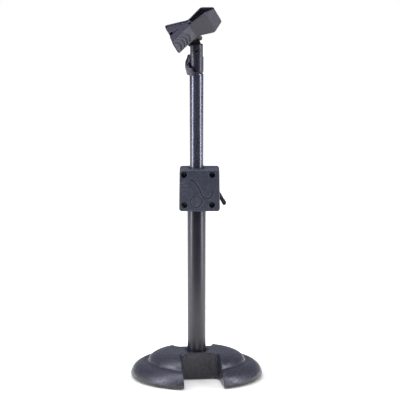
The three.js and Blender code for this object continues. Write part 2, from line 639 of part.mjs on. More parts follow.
const stand = new THREE.Group();
buildBase(stand);
const upper = new THREE.Group();
upper.rotation.z = rad(UPPER_TURN);
stand.add(upper);
buildOuterTube(upper);
buildClutch(upper);
buildInnerTube(upper);
buildSwivel(upper);
buildClip(upper);

export default stand;
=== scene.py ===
"""Looks for the desktop microphone stand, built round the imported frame. Shapes are in millimetres in
their own local frames and become metres when a mesh is made."""
import json
from math import atan2, cos, pi, radians, sin

import bmesh
import bpy
from mathutils import Matrix, Vector


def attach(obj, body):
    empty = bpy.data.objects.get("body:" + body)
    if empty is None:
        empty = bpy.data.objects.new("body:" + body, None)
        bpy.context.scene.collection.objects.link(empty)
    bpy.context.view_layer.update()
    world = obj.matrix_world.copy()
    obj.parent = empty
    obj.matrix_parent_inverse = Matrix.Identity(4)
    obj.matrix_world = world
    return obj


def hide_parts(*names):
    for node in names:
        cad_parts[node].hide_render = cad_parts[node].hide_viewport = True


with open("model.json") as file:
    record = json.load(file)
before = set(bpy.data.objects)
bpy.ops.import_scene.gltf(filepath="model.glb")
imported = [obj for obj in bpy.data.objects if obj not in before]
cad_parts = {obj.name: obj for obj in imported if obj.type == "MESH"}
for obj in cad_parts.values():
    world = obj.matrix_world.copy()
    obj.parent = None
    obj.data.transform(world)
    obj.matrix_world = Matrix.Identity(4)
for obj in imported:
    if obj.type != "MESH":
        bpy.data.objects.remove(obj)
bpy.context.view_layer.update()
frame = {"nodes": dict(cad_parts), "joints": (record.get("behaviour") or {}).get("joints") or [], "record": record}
scene = bpy.context.scene
record = frame["record"]
MM = 0.001

SLOT_OF = {entry["node"]: entry["material_slot"] for entry in record["subparts"]}
BODY_OF = {node: body for body, nodes in record["behaviour"]["bodies"].items() for node in nodes}
JOINT = {joint["name"]: joint for joint in frame["joints"]}

# ---------------------------------------------------------------- local frames


def place_from(x_axis, y_axis, z_axis, origin):
    columns = [Vector(x_axis).normalized(), Vector(y_axis).normalized(), Vector(z_axis).normalized()]
    turned = Matrix([[column[row] for column in columns] for row in range(3)]).to_4x4()
    return Matrix.Translation(Vector(origin)) @ turned


UP = Vector((0, 0, 1))
ACROSS = Vector(JOINT["clip_tilt"]["axis"])
UPPER = place_from(ACROSS.cross(UP), ACROSS, UP, (0, 0, 0))
GROUND = Matrix.Identity(4)
JAW_WAY = Vector(JOINT["clip_pan"]["axis"])
TONGUE = place_from(JAW_WAY, ACROSS, JAW_WAY.cross(ACROSS), JOINT["clip_tilt"]["pos_m"])
HINGE_WAY = -Vector(JOINT["front_jaw_open"]["axis"])
PAN = place_from(JAW_WAY, HINGE_WAY.cross(JAW_WAY), HINGE_WAY, JOINT["clip_pan"]["pos_m"])
CLIP = place_from(JAW_WAY, HINGE_WAY.cross(JAW_WAY), HINGE_WAY, JOINT["front_jaw_open"]["pos_m"])
QUICK_WAY = Vector(JOINT["quick_release_press"]["axis"])
QUICK = place_from(QUICK_WAY.cross(UP), QUICK_WAY, UP, (0, 0, 0))


def local_box(node, place):
    """Lowest and highest corners of a CAD node in a local frame, in millimetres."""
    back = place.inverted()
    points = [back @ vertex.co / MM for vertex in frame["nodes"][node].data.vertices]
    low = Vector([min(point[k] for point in points) for k in range(3)])
    high = Vector([max(point[k] for point in points) for k in range(3)])
    return low, high


# ---------------------------------------------------------------- camera

CAMERA_DISTANCE = 3.8
CAMERA_HEIGHT = 0.9
CAMERA_SIDE = 0.0047
CAMERA_PITCH = radians(9.78)
CAMERA_LENS = 255.2


def make_camera():
    data = bpy.data.cameras.new("camera")
    data.lens = CAMERA_LENS
    data.sensor_width = 36.0
    data.dof.use_dof = False
    data.clip_end = 50
    camera = bpy.data.objects.new("camera", data)
    scene.collection.objects.link(camera)
    right = ACROSS.cross(UP)
    camera.location = -ACROSS * CAMERA_DISTANCE + UP * CAMERA_HEIGHT + right * CAMERA_SIDE
    aim = ACROSS * cos(CAMERA_PITCH) - UP * sin(CAMERA_PITCH)
    camera.rotation_mode = "QUATERNION"
    camera.rotation_quaternion = aim.to_track_quat("-Z", "Y")
    scene.camera = camera


make_camera()

# ---------------------------------------------------------------- meshes


def make(name, points, faces, place):
    mesh = bpy.data.meshes.new(name)
    mesh.from_pydata([tuple(MM * value for value in point) for point in points], [], faces)
    work = bmesh.new()
    work.from_mesh(mesh)
    bmesh.ops.recalc_face_normals(work, faces=work.faces)
    work.to_mesh(mesh)
    work.free()
    piece = bpy.data.objects.new(name, mesh)
    scene.collection.objects.link(piece)
    piece.matrix_world = place
    return piece


def settle(piece):
    """Applies every modifier on a piece."""
    bpy.context.view_layer.update()
    graph = bpy.context.evaluated_depsgraph_get()
    settled = bpy.data.meshes.new_from_object(piece.evaluated_get(graph))
    piece.modifiers.clear()
    piece.data = settled
    return piece


def lathe(name, profile, place=UPPER, steps=96):
    """Turns a profile of (radius, height) about z. It closes on itself or ends on the axis."""
    points = []
    rings = []
    for radius, height in profile:
        if radius < 1e-6:
            rings.append([len(points)] * steps)
            points.append((0, 0, height))
            continue
        rings.append(list(range(len(points), len(points) + steps)))
        for k in range(steps):
            angle = 2 * pi * k / steps
            points.append((radius * cos(angle), radius * sin(angle), height))
    pairs = list(zip(rings, rings[1:]))
    if profile[0][0] > 1e-6:
        pairs.append((rings[-1], rings[0]))
    faces = []
    for lower, upper in pairs:
        for k in range(steps):
            n = (k + 1) % steps
            corners = []
            for corner in (lower[k], lower[n], upper[n], upper[k]):
                if corner not in corners:
                    corners.append(corner)
            if len(corners) > 2:
                faces.append(corners)
    return make(name, points, faces, place)


def prism(name, outline, low, high, axis="z", place=UPPER):
    """Pushes an outline along z, y or x. Along y it is drawn in x and z, along x in y and z."""
    order = {"z": lambda a, b, c: (a, b, c), "y": lambda a, b, c: (a, c, b), "x": lambda a, b, c: (c, a, b)}
    put = order[axis]
    count = len(outline)
    points = [put(a, b, low) for a, b in outline] + [put(a, b, high) for a, b in outline]
    faces = [list(range(count)), list(range(count, 2 * count))]
    faces += [[k, (k + 1) % count, count + (k + 1) % count, count + k] for k in range(count)]
    return make(name, points, faces, place)


def block(name, low, high, place=UPPER):
    outline = [(low[0], low[1]), (high[0], low[1]), (high[0], high[1]), (low[0], high[1])]
    return prism(name, outline, low[2], high[2], "z", place)


def round_rod(name, radius, centre, low, high, axis="y", place=UPPER, steps=40):
    outline = [
        (centre[0] + radius * cos(2 * pi * k / steps), centre[1] + radius * sin(2 * pi * k / steps))
        for k in range(steps)
    ]
    return prism(name, outline, low, high, axis, place)


def arc(cx, cy, radius, start, end, count=6):
    """Points on an arc, with its angles in degrees."""
    angles = [radians(start + (end - start) * k / count) for k in range(count + 1)]
    return [(cx + radius * cos(angle), cy + radius * sin(angle)) for angle in angles]


def rounded(x0, x1, y0, y1, radius):
    return (
        arc(x1 - radius, y0 + radius, radius, -90, 0)
        + arc(x1 - radius, y1 - radius, radius, 0, 90)
        + arc(x0 + radius, y1 - radius, radius, 90, 180)
        + arc(x0 + radius, y0 + radius, radius, 180, 270)
    )


def hexagon(flat, centre=(0, 0), turn=0):
    reach = flat / 3 ** 0.5
    return [
        (centre[0] + reach * cos(radians(60 * k + turn)), centre[1] + reach * sin(radians(60 * k + turn)))
        for k in range(6)
    ]


def bezier(p0, p1, p2, p3, count=10):
    points = []
    for k in range(count + 1):
        t = k / count
        weights = ((1 - t) ** 3, 3 * t * (1 - t) ** 2, 3 * t * t * (1 - t), t ** 3)
        points.append(tuple(sum(w * p[i] for w, p in zip(weights, (p0, p1, p2, p3))) for i in range(2)))
    return points


def wire(name, points, radius, place=UPPER, closed=False, smooth=True):
    """A round wire through points, as a mesh with closed ends."""
    curve = bpy.data.curves.new(name, "CURVE")
    curve.dimensions = "3D"
    curve.bevel_depth = radius * MM
    curve.bevel_resolution = 3
    curve.use_fill_caps = not closed
    curve.resolution_u = 6
    spline = curve.splines.new("NURBS" if smooth else "POLY")
    spline.points.add(len(points) - 1)
    for knot, point in zip(spline.points, points):
        knot.co = (point[0] * MM, point[1] * MM, point[2] * MM, 1)
    spline.use_cyclic_u = closed
    if smooth:
        spline.order_u = 4
        spline.use_endpoint_u = not closed
    holder = bpy.data.objects.new(name, curve)
    scene.collection.objects.link(holder)
    bpy.context.view_layer.update()
    graph = bpy.context.evaluated_depsgraph_get()
    mesh = bpy.data.meshes.new_from_object(holder.evaluated_get(graph))
    bpy.data.objects.remove(holder)
    piece = bpy.data.objects.new(name, mesh)
    scene.collection.objects.link(piece)
    piece.matrix_world = place
    return piece


def fuse(pieces):
    """Puts several closed meshes of one frame into the first one's mesh."""
    whole = pieces[0]
    work = bmesh.new()
    for piece in pieces:
        work.from_mesh(piece.data)
    work.to_mesh(whole.data)
    work.free()
    for piece in pieces[1:]:
        bpy.data.objects.remove(piece)
    return whole


def combine(piece, tool, operation):
    modifier = piece.modifiers.new("carve", "BOOLEAN")
    modifier.operation = operation
    modifier.solver = "EXACT"
    modifier.use_self = True
    modifier.object = tool
    settle(piece)
    bpy.data.objects.remove(tool)
    return piece


def carve(piece, tools):
    for tool in tools:
        combine(piece, tool, "DIFFERENCE")
    return piece


def mould(piece, voxel, passes=3):
    """Remeshes a carved piece evenly, which rounds its edges as a mould or a casting does."""
    remesh = piece.modifiers.new("remesh", "REMESH")
    remesh.mode = "VOXEL"
    remesh.voxel_size = voxel * MM
    soften = piece.modifiers.new("soften", "SMOOTH")
    soften.factor = 0.5
    soften.iterations = passes
    settle(piece)
    return shade(piece)


def shade(piece):
    for face in piece.data.polygons:
        face.use_smooth = True
    return piece


def edge_round(piece, width, segments=3, angle=35):
    bevel = piece.modifiers.new("bevel", "BEVEL")
    bevel.width = width * MM
    bevel.segments = segments
    bevel.limit_method = "ANGLE"
    bevel.angle_limit = radians(angle)
    bevel.harden_normals = False
    settle(piece)
    shade(piece)
    piece.data.set_sharp_from_angle(angle=radians(50))
    return piece


# ---------------------------------------------------------------- materials


def link(tree, source, output, target, entry):
    tree.links.new(source.outputs[output], target.inputs[entry])


def noise(tree, coords, scale, detail=3.0, roughness=0.55):
    node = tree.nodes.new("ShaderNodeTexNoise")
    node.inputs["Scale"].default_value = scale
    node.inputs["Detail"].default_value = detail
    node.inputs["Roughness"].default_value = roughness
    link(tree, coords, "Object", node, "Vector")
    return node


def mapped(tree, source, output, low, high, to_low, to_high):
    node = tree.nodes.new("ShaderNodeMapRange")
    node.inputs["From Min"].default_value = low
    node.inputs["From Max"].default_value = high
    node.inputs["To Min"].default_value = to_low
    node.inputs["To Max"].default_value = to_high
    link(tree, source, output, node, "Value")
    return node


def mixed(tree, factor, output, first, second):
    node = tree.nodes.new("ShaderNodeMix")
    node.data_type = "RGBA"
    node.inputs["A"].default_value = (*first, 1)
    node.inputs["B"].default_value = (*second, 1)
    link(tree, factor, output, node, "Factor")
    return node


def material(name, colour, roughness, metallic, grain, depth, wear_and_highlight, coat=0.0, uneven=0.06, mottle=(60, 0.2)):
    """Colour mottling, fine grain in the bump and the roughness, and lighter edges: worn edges on most finishes,
    and a painted highlight along the edges of the cast base. Grain and mottle are noise scales per metre, depth is
    in millimetres, and mottle's second value is its share."""
    mottle_scale, mottle_share = mottle
    made = bpy.data.materials.new(name)
    made.use_nodes = True
    tree = made.node_tree
    shader = tree.nodes["Principled BSDF"]
    shader.inputs["Metallic"].default_value = metallic
    shader.inputs["Coat Weight"].default_value = coat
    shader.inputs["Coat Roughness"].default_value = 0.25
    coords = tree.nodes.new("ShaderNodeTexCoord")
    cloud = noise(tree, coords, mottle_scale)
    fine = noise(tree, coords, grain, 2.0)
    dark = [value * (1 - mottle_share) for value in colour]
    light = [min(1, value * (1 + mottle_share)) for value in colour]
    spread = mapped(tree, cloud, "Fac", 0.3, 0.7, 0, 1)
    base = mixed(tree, spread, "Result", dark, light)
    last = base
    # Lighter edges found by pointiness: edge wear on most finishes, a painted highlight on the cast base.
    if wear_and_highlight:
        shape = tree.nodes.new("ShaderNodeNewGeometry")
        edge = mapped(tree, shape, "Pointiness", 0.56, 0.72, 0, 0.4)
        wear_and_highlight_mask = tree.nodes.new("ShaderNodeMath")
        wear_and_highlight_mask.operation = "MULTIPLY"
        link(tree, edge, "Result", wear_and_highlight_mask, 0)
        link(tree, spread, "Result", wear_and_highlight_mask, 1)
        last = mixed(tree, wear_and_highlight_mask, "Value", colour, wear_and_highlight)
        link(tree, base, "Result", last, "A")
    link(tree, last, "Result", shader, "Base Color")
    rough = mapped(tree, fine, "Fac", 0.3, 0.7, roughness - uneven, roughness + uneven)
    link(tree, rough, "Result", shader, "Roughness")
    bump = tree.nodes.new("ShaderNodeBump")
    bump.inputs["Strength"].default_value = 0.6
    bump.inputs["Distance"].default_value = depth * MM
    link(tree, fine, "Fac", bump, "Height")
    link(tree, bump, "Normal", shader, "Normal")
    return made


MATERIALS = {
    # The cast base's lighter edge colour is a painted highlight along its rim and notch edges, not wear.
    "base_iron": material(
        "base_iron", colour=(0.015, 0.0145, 0.021),
        roughness=0.4, metallic=0.0, grain=330, depth=1.6,
        wear_and_highlight=(0.17, 0.17, 0.21), coat=0.25, uneven=0.1, mottle=(420, 0.75),
    ),
    "outer_tube_paint": material(
        "outer_tube_paint", colour=(0.012, 0.0105, 0.0155),
        roughness=0.36, metallic=0.1, grain=600, depth=0.006,
        wear_and_highlight=(0.05, 0.05, 0.06), coat=0.2, uneven=0.03,
    ),
    "inner_tube_finish": material(
        "inner_tube_finish", colour=(0.075, 0.074, 0.092),
        roughness=0.27, metallic=0.65, grain=400, depth=0.001,
        wear_and_highlight=(0.05, 0.05, 0.06), coat=0.3, uneven=0.02,
    ),
    "clutch_housing": material(
        "clutch_housing", colour=(0.027, 0.029, 0.042),
        roughness=0.46, metallic=0.0, grain=700, depth=0.4,
        wear_and_highlight=(0.10, 0.11, 0.14), coat=0.1, uneven=0.06, mottle=(500, 0.35),
    ),
    "clip_plastic": material(
        "clip_plastic", colour=(0.015, 0.0115, 0.022),
        roughness=0.38, metallic=0.0, grain=700, depth=0.03,
        wear_and_highlight=(0.10, 0.095, 0.12),
    ),
    "black_plastic": material(
        "black_plastic", colour=(0.010, 0.010, 0.012),
        roughness=0.45, metallic=0.0, grain=1500, depth=0.06,
        wear_and_highlight=(0.04, 0.04, 0.045),
    ),
    "black_steel": material(
        "black_steel", colour=(0.035, 0.035, 0.040),
        roughness=0.32, metallic=0.5, grain=2000, depth=0.03,
        wear_and_highlight=(0.08, 0.08, 0.08),
    ),
    "bare_steel": material(
        "bare_steel", colour=(0.42, 0.42, 0.44),
        roughness=0.33, metallic=1.0, grain=2200, depth=0.02,
        wear_and_highlight=(0.6, 0.6, 0.6),
    ),
    "white_nylon": material(
        "white_nylon", colour=(0.55, 0.53, 0.47),
        roughness=0.5, metallic=0.0, grain=1200, depth=0.05,
        wear_and_highlight=(0.62, 0.6, 0.55),
    ),
    "black_rubber": material(
        "black_rubber", colour=(0.013, 0.013, 0.014),
        roughness=0.75, metallic=0.0, grain=1100, depth=0.12,
        wear_and_highlight=(0.04, 0.04, 0.04),
    ),
}


def adopt(piece, node, replace=True):
    """Gives a piece the body of the CAD node that it belongs to and the material of that node's slot."""
    piece.data.materials.clear()
    piece.data.materials.append(MATERIALS[SLOT_OF[node]])
    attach(piece, BODY_OF[node])
    if replace:
        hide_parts(node)
    return piece


def dress_cad_nodes():
    for name, node in frame["nodes"].items():
        finish = MATERIALS[SLOT_OF[name]]
        if not node.material_slots:
            node.data.materials.append(finish)
        for entry in node.material_slots:
            entry.material = finish


# ---------------------------------------------------------------- base

NOTCH_HALF = 27
NOTCH_WALL = 22.6
NOTCH_CORNER = 9
CREST_DROP = 14.6
SPOT_RADIUS = 16.5
SPOT_DEPTH = 1.6
SOCKET_RADIUS = 13
SOCKET_FLOOR = 31
BOLT_HOLE = 5.5
HEAD_POCKET = 15
HEAD_POCKET_TOP = 14
FIT = 0.3


def notch_tool(side, radius, top):
    far = radius + 5
    inner = -NOTCH_WALL - NOTCH_CORNER
    outline = [(-NOTCH_HALF, -far), (NOTCH_HALF, -far)]
    outline += arc(NOTCH_HALF - NOTCH_CORNER, inner, NOTCH_CORNER, 0, 90)
    outline += arc(-NOTCH_HALF + NOTCH_CORNER, inner, NOTCH_CORNER, 90, 180)
    return prism("notch", [(x, y * side) for x, y in outline], -5, top + 5, "z", GROUND)


def base_profile(radius, bottom, top):
    """Foot, flank, the valley behind the rim, dome, and the stepped hole down the middle."""
    crest = top - CREST_DROP
    spot = top - SPOT_DEPTH
    profile = [(HEAD_POCKET, bottom), (radius - 4, bottom), (radius - 1.2, bottom + 0.9)]
    profile += bezier(
        (radius, bottom + 3.3), (radius + 0.2, 12.5), (radius - 7.5, crest - 1.5), (radius - 17, crest), 14)
    profile += bezier(
        (radius - 18, crest - 0.1), (radius - 19.5, crest - 1.3), (radius - 21.5, crest - 1.3),
        (radius - 23.3, crest + 0.2), 6)
    profile += bezier(
        (radius - 23.6, crest + 0.7), (radius - 25.6, 31), (radius - 36, top - 0.7), (radius - 54, top), 14)
    profile += [(SPOT_RADIUS, top), (SPOT_RADIUS, spot), (SOCKET_RADIUS, spot), (SOCKET_RADIUS, SOCKET_FLOOR)]
    profile += [(BOLT_HOLE, SOCKET_FLOOR), (BOLT_HOLE, HEAD_POCKET_TOP), (HEAD_POCKET, HEAD_POCKET_TOP)]
    return profile


def make_base():
    low, high = local_box("base_casting", GROUND)
    radius = high.x
    casting = lathe("cast_base", base_profile(radius, low.z, high.z), GROUND, 144)
    tools = [notch_tool(1, radius, high.z), notch_tool(-1, radius, high.z)]
    for number in range(1, 5):
        pad_low, pad_high = local_box(f"base_pad_{number}", GROUND)
        centre = (pad_low + pad_high) / 2
        reach = (pad_high.x - pad_low.x) / 2 + FIT
        tools.append(round_rod("recess", reach, (centre.x, centre.y), -5, pad_high.z + FIT, "z", GROUND))
        place = GROUND @ Matrix.Translation((centre.x * MM, centre.y * MM, 0))
        pad = lathe(f"rubber_pad_{number}", [
            (0, pad_low.z), (reach - 1.1, pad_low.z), (reach - 0.5, pad_low.z + 0.5),
            (reach - FIT, pad_high.z), (0, pad_high.z)], place, 48)
        adopt(edge_round(pad, 0.25, 2), f"base_pad_{number}")
    carve(casting, tools)
    adopt(mould(casting, 0.8, 4), "base_casting")


# ---------------------------------------------------------------- tubes


OUTER_BORE = 11.2
INNER_BORE = 8.025


def pipe(name, node, inner, steps=112):
    low, high = local_box(node, UPPER)
    outer = (high.y - low.y) / 2
    chamfer = 0.4
    tube = lathe(name, [
        (inner, low.z + chamfer), (inner + chamfer, low.z),
        (outer - chamfer, low.z), (outer, low.z + chamfer),
        (outer, high.z - chamfer), (outer - chamfer, high.z),
        (inner + chamfer, high.z), (inner, high.z - chamfer)],
        UPPER, steps)
    return adopt(edge_round(tube, 0.15, 2, 30), node)


# ---------------------------------------------------------------- clutch

RECESS = 4.25
CROWN = 0.9
GROOVE_LINE = [
    (-12.8, 15.7), (-8.7, 14.7), (-4.7, 10.3), (-1.3, 4.9), (0.7, 0.1), (2.8, -5.3), (6.1, -9.7),
    (10.2, -10.7), (14.9, -9.4), (18.0, -5.3), (18.3, 0.1), (17.0, 1.2),
]
BADGE = (-4.4, -15.1)
BADGE_RADIUS = 7.9
GRIP_HEIGHTS = (11, 6.2, 0.8, -4.6)
GRIP_TILT = 1.1
GRIP_RADIUS = 1.1
GROOVE_RADIUS = 1.6
BADGE_WIRE = 1.25
LEVER_SLOT_HALF = 6.5
MOUTH_LEFT = 26.2
BLOCK_CORNER = 4
LEVER_ANGLE = radians(57.5)


def clutch_tools(low, high, middle, front):
    """What both halves are hollowed by: tube socket, bush bore, plate pocket and lever slot."""
    slot_right = high.x + 6
    slot_half = LEVER_SLOT_HALF
    tools = [
        round_rod("socket", 13, (0, 0), low.z - 5, low.z + 17.8, "z"),
        round_rod("bore", 12.3, (0, 0), high.z - 12.6, high.z + 5, "z"),
        round_rod("through", 10.4, (0, 0), low.z + 16, high.z - 10, "z"),
        block("pocket", (low.x + 4, -14, low.z + 19.5), (high.x - 9, 14, high.z - 12.5)),
        block("slot", (17, -slot_half, low.z + 19.5), (slot_right, slot_half, low.z + 36.5)),
        block("mouth", (MOUTH_LEFT, -slot_half, low.z + 5), (slot_right, slot_half, low.z + 20.5)),
    ]
    if not front:
        return tools
    for number in range(1, 5):
        screw_low, screw_high = local_box(f"cover_screw_{number}", UPPER)
        centre = (screw_low + screw_high) / 2
        tools.append(round_rod("recess", RECESS, (centre.x, centre.z), low.y - 5, screw_low.y + 3.3))
    face = low.y
    line = [(middle.x + x, face - 0.1, middle.z + z) for x, z in GROOVE_LINE]
    tools.append(wire("s_groove", line, GROOVE_RADIUS))
    for height in GRIP_HEIGHTS:
        level = middle.z + height
        tools.append(wire("grip", [
            (low.x - 2, face + 9, level - GRIP_TILT * 2), (low.x - 0.5, face + 2, level - GRIP_TILT * 2),
            (low.x + 1.5, face, level - GRIP_TILT), (low.x + 6.5, face - 0.2, level + GRIP_TILT),
            (low.x + 10.5, face - 0.7, level + GRIP_TILT)], GRIP_RADIUS))
    return tools


def badge_tools(low, middle):
    """A ring with an up and down arrow, cut shallow into the cover."""
    centre = (middle.x + BADGE[0], middle.z + BADGE[1])
    face = low.y
    ring_line = [(centre[0] + x, face, centre[1] + z) for x, z in arc(0, 0, BADGE_RADIUS, 0, 360, 24)[:-1]]
    tools = [wire("badge_ring", ring_line, BADGE_WIRE, closed=True)]
    depth = face + 0.9
    for side in (1, -1):
        head = [(centre[0] - 3, centre[1] + side * 1.6), (centre[0] + 3, centre[1] + side * 1.6),
                (centre[0], centre[1] + side * 5.2)]
        tools.append(prism("arrow", head, face - 3, depth, "y"))
    return tools


def crown(piece, low, high, middle):
    """Bulges the front face a little and lets the body widen towards its bottom."""
    half_width = (high.x - low.x) / 2
    half_height = (high.z - low.z) / 2
    for vertex in piece.data.vertices:
        x = (vertex.co.x / MM - middle.x) / half_width
        z = (vertex.co.z / MM - middle.z) / half_height
        depth = max(0.0, min(1.0, (low.y + 8 - vertex.co.y / MM) / 8)) if low.y < -10 else 0
        vertex.co.y -= CROWN * MM * depth * (1 - min(1, 0.5 * (x * x + z * z)))
        vertex.co.x += 0.35 * MM * x * -z


def clutch_half(name, node, front):
    low, high = local_box(node, UPPER)
    middle = (low + high) / 2
    shell = prism(name, rounded(low.x, high.x, low.z, high.z, BLOCK_CORNER), low.y, high.y, "y")
    shell = edge_round(shell, 1.6, 4, 60)
    tools = clutch_tools(low, high, middle, front)
    if front:
        tools += badge_tools(low, middle)
    carve(shell, tools)
    mould(shell, 0.45, 2)
    crown(shell, low, high, middle)
    return adopt(shell, node)


def facing_front(frame_of, x, y, z):
    """A frame at a point whose z axis runs along the y axis of another frame."""
    return frame_of @ Matrix.Translation((x * MM, y * MM, z * MM)) @ Matrix.Rotation(-pi / 2, 4, "X")


def cover_screw(number):
    node = f"cover_screw_{number}"
    low, high = local_box(node, UPPER)
    centre = (low + high) / 2
    radius = (high.x - low.x) / 2
    head = high.y - low.y
    place = facing_front(UPPER, centre.x, low.y, centre.z)
    screw = lathe(f"socket_screw_{number}", [
        (0, 0), (radius - 0.7, 0), (radius - 0.2, 0.25), (radius, 0.8), (radius, 3.1),
        (2, 3.1), (2, head), (0, head)], place, 48)
    carve(screw, [prism("drive", hexagon(3.2, turn=number * 17), -1, 2.0, "z", place)])
    return adopt(edge_round(screw, 0.12, 2, 40), node)


def make_clutch():
    clutch_half("front_cover", "clutch_front_cover", True)
    clutch_half("rear_housing", "clutch_rear_housing", False)
    for number in range(1, 5):
        cover_screw(number)
    low, high = local_box("guide_bush", UPPER)
    bush = lathe("top_bush", [
        (9.85, low.z), (high.x, low.z), (high.x, low.z + 1.7), (12, low.z + 1.7), (12, high.z - 0.5),
        (11.5, high.z), (10.4, high.z), (9.85, high.z - 0.5)], UPPER, 96)
    adopt(edge_round(bush, 0.15, 2, 30), "guide_bush")
    make_release_lever()


def make_release_lever():
    pivot = UPPER.inverted() @ Vector(JOINT["release_lever_press"]["pos_m"]) / MM
    place = UPPER @ Matrix.Translation((pivot.x * MM, 0, pivot.z * MM)) @ Matrix.Rotation(LEVER_ANGLE, 4, "Y")
    outline = [(0, -2.6), (16, -2.6), (24, -3.2)]
    outline += arc(24.0, -0.4, 2.8, -90, 75, 6)
    outline += [(19, 2.0), (8, 2.6), (0, 3.0)]
    handle = prism("release_handle", outline, -6, 6, "y", place)
    hub = round_rod("hub", 4.6, (0, 0), -6, 6, "y", place)
    across, along = cos(LEVER_ANGLE), sin(LEVER_ANGLE)
    level = [(-7.4, -2.5), (0, -2.5), (0, 0.3), (-7.4, 0.3)]
    turned = [(x * across - z * along, x * along + z * across) for x, z in level]
    finger = prism("finger", turned, -6, 6, "y", place)
    fuse([handle, hub, finger])
    ribs = [block("rib", (11 + 2.4 * k, -5.2, -4.3), (12 + 2.4 * k, 5.2, -2.3), place) for k in range(4)]
    carve(handle, [round_rod("pin_hole", 2.2, (0, 0), -9, 9, "y", place)] + ribs)
    adopt(mould(handle, 0.35, 2), "release_lever")


# ---------------------------------------------------------------- swivel


EAR_HEIGHT = 8.6
EAR_CORNER = 3
LEVER_WALL = 2.1
LEVER_SWEEP = range(-58, 71, 8)
LEVER_REACH = 30
PIN_HOLE = 1.2


def make_barrel():
    low, high = local_box("swivel_barrel", UPPER)
    screw_low, screw_high = local_box("swivel_screw", UPPER)
    centre = (screw_low + screw_high) / 2
    radius = high.x
    neck = centre.z - EAR_HEIGHT
    lower = lathe("swivel_body", [
        (0, low.z), (radius - 1.6, low.z), (radius - 0.4, low.z + 1.3), (radius - 0.1, low.z + 3),
        (radius, low.z + 6), (radius, neck + 1), (0, neck + 1)], UPPER, 96)
    ears = prism("ears", rounded(-radius, radius, neck - 8, high.z, EAR_CORNER), -radius, radius, "y")
    combine(ears, round_rod("trim", radius, (0, 0), neck - 1, high.z + 1, "z", UPPER, 96), "INTERSECT")
    lug_low, lug_high = local_box("quick_release_pin", QUICK)
    pin = (lug_low + lug_high) / 2
    lug = block("lug", (radius - 1, -2.2, pin.z - 1.7), (pin.x + 1.5, 2.2, pin.z + 1.7), QUICK)
    lug.data.transform(UPPER.inverted() @ QUICK)
    lug.matrix_world = UPPER
    fuse([lower, ears, lug])
    pin_hole = round_rod("pin_hole", PIN_HOLE, (pin.x, pin.z), -3, 3, "y", QUICK)
    nut_low, _ = local_box("swivel_nut", UPPER)
    carve(lower, [
        round_rod("thread", 8, (0, 0), low.z - 1, low.z + 13.3, "z"),
        block("fork_gap", (-radius - 2, -3.9, neck), (radius + 2, 3.9, high.z + 2)),
        round_rod("screw_hole", 2.8, (0, centre.z), -radius - 2, radius + 2),
        round_rod("screw_recess", 5.2, (0, centre.z), -radius - 2, -6.6),
        prism("nut_recess", hexagon(8.6, (0, centre.z)), nut_low.y - 0.3, radius + 2, "y"),
        pin_hole,
    ])
    adopt(mould(lower, 0.3, 2), "swivel_barrel")


def make_quick_pin():
    low, high = local_box("quick_release_pin", QUICK)
    centre = (low + high) / 2
    place = facing_front(QUICK, centre.x, low.y, centre.z)
    length = high.y - low.y
    pin = lathe("thumb_lever_pin", [
        (0, 0), (0.6, 0.05), (0.9, 0.35), (0.9, length - 0.35), (0.6, length - 0.05), (0, length)], place, 32)
    adopt(shade(pin), "quick_release_pin")


def make_swivel_screw():
    low, high = local_box("swivel_screw", UPPER)
    centre = (low + high) / 2
    length = high.y - low.y
    place = facing_front(UPPER, 0, low.y, centre.z)
    screw = lathe("slotted_screw", [
        (0, -0.25), (2.4, -0.15), (4.2, 0.15), (4.75, 0.6), (4.8, 1.2), (4.8, 2.3),
        (2.5, 2.3), (2.5, length), (0, length)], place, 64)
    slot = block("slot", (-7, -0.65, -2), (7, 0.65, 1.3), place)
    slot.data.transform(Matrix.Rotation(radians(-40), 4, "Z"))
    carve(screw, [slot])
    adopt(edge_round(screw, 0.12, 2, 40), "swivel_screw")
    nut_low, nut_high = local_box("swivel_nut", UPPER)
    nut = prism("hex_nut", hexagon(8, (0, centre.z)), nut_low.y, nut_high.y, "y")
    carve(nut, [round_rod("nut_bore", 2.8, (0, centre.z), nut_low.y - 1, nut_high.y + 1)])
    adopt(edge_round(nut, 0.3, 2, 40), "swivel_nut")


def round_the_axis(angle):
    """A point well outside the lever at an angle in degrees about the barrel's axis."""
    return LEVER_REACH * cos(radians(angle)), LEVER_REACH * sin(radians(angle))


def make_quick_lever():
    """A rocker that wraps round the barrel's foot and narrows to a tab at its top."""
    low, high = local_box("quick_release_lever", QUICK)
    pin = QUICK.inverted() @ Vector(JOINT["quick_release_press"]["pos_m"]) / MM
    outer = [(12.1, high.z)]
    outer += bezier((13.2, pin.z + 8), (15.9, pin.z + 4), (16.6, pin.z - 3), (14.2, pin.z - 10), 10)
    outer += [(13.6, low.z + 2), (13.4, low.z + 0.8), (12.8, low.z)]
    inner = [(radius - LEVER_WALL, height) for radius, height in reversed(outer)]
    shell = lathe("thumb_lever", outer + inner, QUICK, 120)
    wedge = [(0, 0)] + [round_the_axis(angle) for angle in LEVER_SWEEP]
    combine(shell, prism("wedge", wedge, low.z - 1, high.z + 1, "z", QUICK), "INTERSECT")
    side = [
        (72, low.z - 2), (70, pin.z - 9), (58, pin.z - 4.5),
        (30, pin.z - 1), (12, pin.z + 5), (6, high.z + 2)]
    line = [(*round_the_axis(angle), height) for angle, height in side]
    core = [(0, 0, height) for _, height in side]
    far = [(*round_the_axis(120), height) for height in (low.z - 2, high.z + 2)]
    trim = make("trim", *fan_solid(core, line, far), QUICK)
    carve(shell, [trim])
    cheeks = [
        block("cheek", (pin.x - 1.4, y, pin.z - 1.7), (pin.x + 3.2, y + 1.7, pin.z + 1.7), QUICK)
        for y in (2.55, -4.25)
    ]
    fuse([shell] + cheeks)
    carve(shell, [round_rod("pin_hole", PIN_HOLE, (pin.x, pin.z), -8, 8, "y", QUICK)])
    adopt(mould(shell, 0.3, 2), "quick_release_lever")


